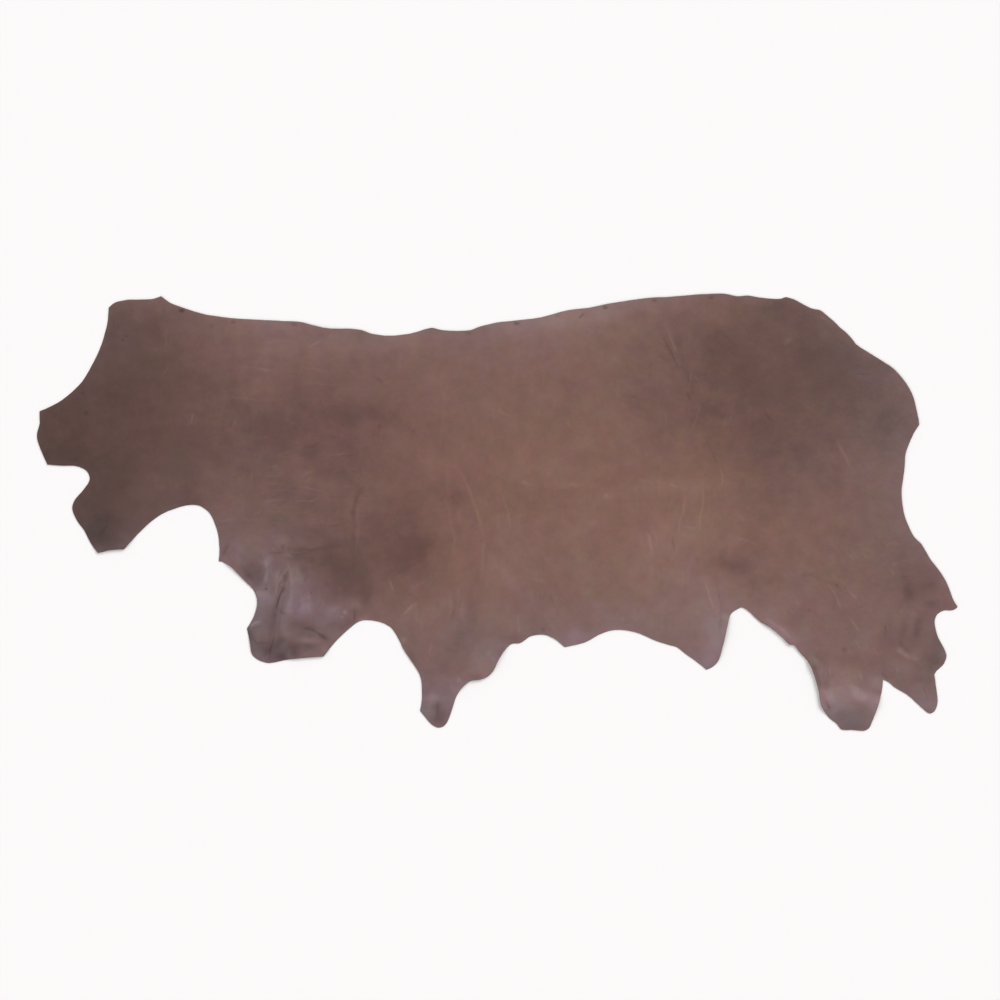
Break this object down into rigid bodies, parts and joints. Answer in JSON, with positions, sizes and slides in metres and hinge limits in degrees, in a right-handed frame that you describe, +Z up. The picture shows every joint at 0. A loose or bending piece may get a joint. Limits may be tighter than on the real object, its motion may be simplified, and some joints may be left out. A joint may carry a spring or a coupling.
{
  "type": "leather side",
  "caption": "Side of oiled brown cattle leather, half a hide with its natural trimmed edge, laid out flat with the grain face up and cockled legs.",
  "frame": {"origin": "under the middle of the side's overall length and width, on the surface that it rests on", "axes": "+X along the back from the nose end to the rump, +Y from the belly to the backbone, +Z up out of the grain face"},
  "size_m": [2.4496, 1.1632, 0.0188],
  "materials": {
    "leather": "matte to soft satin oiled full-grain cattle leather, mottled warm brown, darker at neck and rump, with pale scars and a dark cut edge"
  },
  "bodies": {
    "root": {"leather_side": "leather"}
  },
  "joints": []
}
